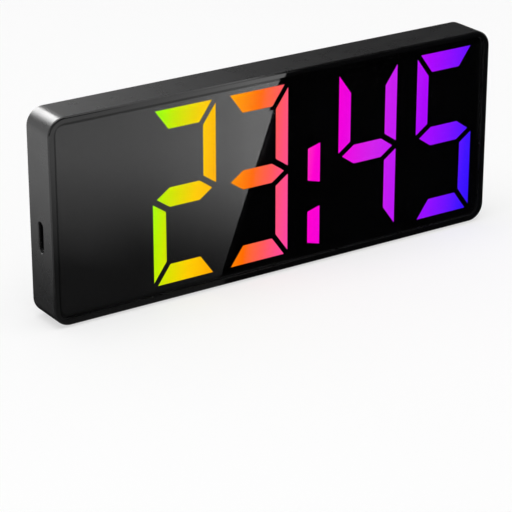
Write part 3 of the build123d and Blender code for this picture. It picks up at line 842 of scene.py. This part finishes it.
floor_white = finish("floor_white")
floor_haze = clouds(floor_white, floor_haze_size, detail=2.0)
paint(floor_white, colour=mottled(floor_haze, *floor_tones), roughness=0.9, mirror=0.0)
floor_nodes = floor_white.node_tree.nodes
floor_lift = floor_nodes.new("ShaderNodeEmission").outputs["Emission"]
floor_clear = floor_nodes.new("ShaderNodeBsdfTransparent").outputs["BSDF"]
from_below = floor_nodes.new("ShaderNodeNewGeometry").outputs["Backfacing"]
white_share = product(seen_directly(floor_white), floor_white_share)
floor_top = blended(white_share, floor_nodes["Principled BSDF"].outputs["BSDF"], floor_lift)
feed(floor_nodes["Material Output"].inputs["Surface"], blended(from_below, floor_top, floor_clear))
sheet_of("floor", flat(-floor_half, floor_half, -floor_half, floor_half, floor_level), floor_white)

sky = bpy.data.worlds.new("sky")
bpy.context.scene.world = sky
sky.use_nodes = True
sky_soft = sky.node_tree.nodes["Background"]
sky_white = sky.node_tree.nodes.new("ShaderNodeBackground")
for sky_part, strength in ((sky_soft, sky_strength), (sky_white, seen_sky_strength)):
    feed(sky_part.inputs["Color"], sky_colour)
    feed(sky_part.inputs["Strength"], strength)
sky_light = blended(seen_directly(sky), sky_soft.outputs["Background"], sky_white.outputs["Background"])
feed(sky.node_tree.nodes["World Output"].inputs["Surface"], sky_light)

softbox = bpy.data.lights.new("overhead_softbox", "AREA")
softbox.shape = "SQUARE"
softbox.size = softbox_size
softbox.energy = softbox_power
aimed(softbox, softbox_place, (0.0, 0.0, 0.0))


def card(name, corners, level=None):
    """A reflection card that only gloss can see: level draws its light, and without it the card is black."""
    material = finish(name)
    nodes = material.node_tree.nodes
    nodes.remove(nodes["Principled BSDF"])
    light = nodes.new("ShaderNodeEmission")
    feed(light.inputs["Strength"], level(*along_axes(material)) if level else 0.0)
    feed(nodes["Material Output"].inputs["Surface"], light.outputs["Emission"])
    piece = sheet_of(name, corners, material)
    piece.visible_camera = False
    piece.visible_diffuse = False
    piece.visible_transmission = False
    piece.visible_volume_scatter = False
    piece.visible_shadow = False


def eased(value, low, high, start, end):
    """Like spread, with a soft start and end."""
    result = spread(value, low, high, start, end)
    result.node.interpolation_type = "SMOOTHSTEP"
    return result


card("floor_flag", flat(left=-0.6, right=0.8, near=-1.0, far=0.05, height=0.0002))

strip_lean, sheet_lean = 0.29, 0.212  # to the right for each metre up
sheet_top = 0.30


def front_level(x, y, z):
    """A leaning strip for the top's front edge, and a slanted sheet that the lens shows from ahead."""
    strip_side = leaning(x, z, -strip_lean)
    strip_end = eased(strip_side, low=1.0, high=0.0, start=0.540, end=0.550)
    strip_light = spread(strip_side, low=1.4, high=2.6, start=0.45, end=0.52)
    strip = product(strip_end, strip_light, spread(x, low=0.0, high=1.0, start=0.46, end=0.49))
    sheet_end = spread(leaning(x, z, -sheet_lean), low=1.0, high=0.0, start=-0.018, end=-0.017)
    sheet_rise = eased(z, low=0.1, high=1.8, start=0.0, end=0.12)
    sheet_light = spread(x, low=0.55, high=1.0, start=-0.16, end=-0.02)
    sheet = product(sheet_rise, sheet_end, sheet_light, calc("LESS_THAN", z, sheet_top))
    return calc("ADD", strip, sheet)


card("front_card", upright(left=-1.6, right=1.6, low=0.0, high=1.3, back=-1.0), front_level)

lens_card_left = -0.30
lens_card_right, lens_card_far_right = -0.0212, 0.3545
lens_card_foot, lens_card_end = -0.0073, -0.455
lens_card_height = 0.0004
lens_card_slant = 0.839  # of its right edge, to the right for each metre towards the camera
lens_card_corners = [
    (lens_card_left, lens_card_foot, lens_card_height),
    (lens_card_right, lens_card_foot, lens_card_height),
    (lens_card_far_right, lens_card_end, lens_card_height),
    (lens_card_left, lens_card_end, lens_card_height),
]
rise_slant = 1.11  # a metre to the right counts as this much away from the clock
swell_slant = 0.6  # a metre towards the camera counts as this much to the left
swell_power, swell_gain = 2.5, 1.2  # how steeply and how far the light swells towards the right edge
rim_begins = -0.133  # nearer to the camera, the card is mirrored by the rim, which stands before the lens
rim_edge = -0.0293  # the right edge for the rim, which brings it into line with the edge in the lens
handover_start, handover_end = -0.22, -0.30  # between these the edge card takes over from the lens card


def lens_level(x, y, z):
    """Dark at the foot of the clock, brightest along the slanted right edge, and lit again to the left."""
    away = calc("SUBTRACT", product(x, rise_slant), y)
    across = leaning(x, y, swell_slant)
    rise = eased(away, low=0.158, high=1.755, start=-0.011, end=0.159)
    even = spread(away, low=0.19, high=1.75, start=-0.0168, end=0.125)
    leftward = spread(across, low=1.0, high=0.0, start=-0.074, end=-0.054)
    rise = calc("MULTIPLY_ADD", leftward, calc("SUBTRACT", even, rise), rise)
    swell = calc("POWER", spread(across, low=0.0, high=1.0, start=-0.090, end=-0.005), swell_power)
    front = product(rise, calc("MULTIPLY_ADD", swell, swell_gain, 1.0))
    left = spread(x, low=1.0, high=0.0, start=-0.085, end=-0.065)
    beside = product(eased(calc("ADD", x, y), low=1.2, high=0.1, start=-0.24, end=-0.09), left)
    near = eased(y, low=0.0, high=1.0, start=handover_end, end=handover_start)
    for_lens = calc("GREATER_THAN", y, rim_begins)
    for_rim = calc("LESS_THAN", leaning(x, y, lens_card_slant), rim_edge)
    return product(near, calc("MAXIMUM", for_lens, for_rim), calc("MAXIMUM", front, beside))


card("lens_card", lens_card_corners, lens_level)

edge_card_left, edge_card_far_left = 0.055, 0.514
edge_card_width = 0.1
edge_card_foot, edge_card_end = -0.224, -1.0
edge_card_height = 0.0006
edge_card_corners = [
    (edge_card_left, edge_card_foot, edge_card_height),
    (edge_card_left + edge_card_width, edge_card_foot, edge_card_height),
    (edge_card_far_left + edge_card_width, edge_card_end, edge_card_height),
    (edge_card_far_left, edge_card_end, edge_card_height),
]


def edge_level(x, y, z):
    """Takes over where the lens card fades, for the round along the top of the rim."""
    return eased(y, low=2.0, high=0.0, start=handover_end, end=handover_start)


card("edge_card", edge_card_corners, edge_level)

canopy_bow = 0.155  # to the right, times the square of the distance from the middle of the bow
canopy_bow_middle = 0.08


def canopy_level(x, y, z):
    """Ends on the right in a bowed line and is brightest there, for the front edge of the top."""
    bowed = leaning(x, calc("POWER", offset(y, canopy_bow_middle), 2.0), -canopy_bow)
    end = eased(bowed, low=1.0, high=0.0, start=0.890, end=0.900)
    return product(end, spread(bowed, low=1.2, high=2.6, start=0.80, end=0.87))


card("canopy_card", flat(left=0.70, right=3.0, near=-2.0, far=0.7, height=1.5), canopy_level)


def side_level(x, y, z):
    """Dark beside the clock, bright further out."""
    return eased(x, low=1.1, high=0.10, start=-0.148, end=-0.086)


card("side_card", flat(left=-0.50, right=-0.0805, near=-0.30, far=0.50, height=0.0003), side_level)


def corner_level(x, y, z):
    """Fades out to the left."""
    return eased(x, low=0.0, high=12.0, start=-0.52, end=-0.12)


card("corner_card", upright(left=-0.52, right=0.12, low=0.30, high=0.80, back=0.76), corner_level)

top_lean = 0.41  # to the right for each metre up
top_lean_foot = 0.46


def top_level(x, y, z):
    """Fades out to the right, and further over higher up, which the front edge of the top mirrors."""
    side = leaning(x, calc("SUBTRACT", z, top_lean_foot), -top_lean)
    start = eased(side, low=0.3, high=0.0, start=0.32, end=0.46)
    return calc("ADD", start, spread(side, low=0.64, high=0.04, start=0.26, end=0.60))


card("top_card", upright(left=0.12, right=1.60, low=0.0, high=1.60, back=0.80), top_level)

# Camera
# A long lens from the left and above, as the photograph was taken.

camera_place = (-0.36607, -0.54214, 0.27447)
camera_target = (-0.00492, -0.0004, 0.00411)

camera = bpy.data.cameras.new("camera")
camera.lens = 159.33
camera.sensor_width = 36.0
camera.clip_start = 0.01
bpy.context.scene.camera = aimed(camera, camera_place, camera_target)
bpy.context.scene.view_settings.view_transform = "Standard"
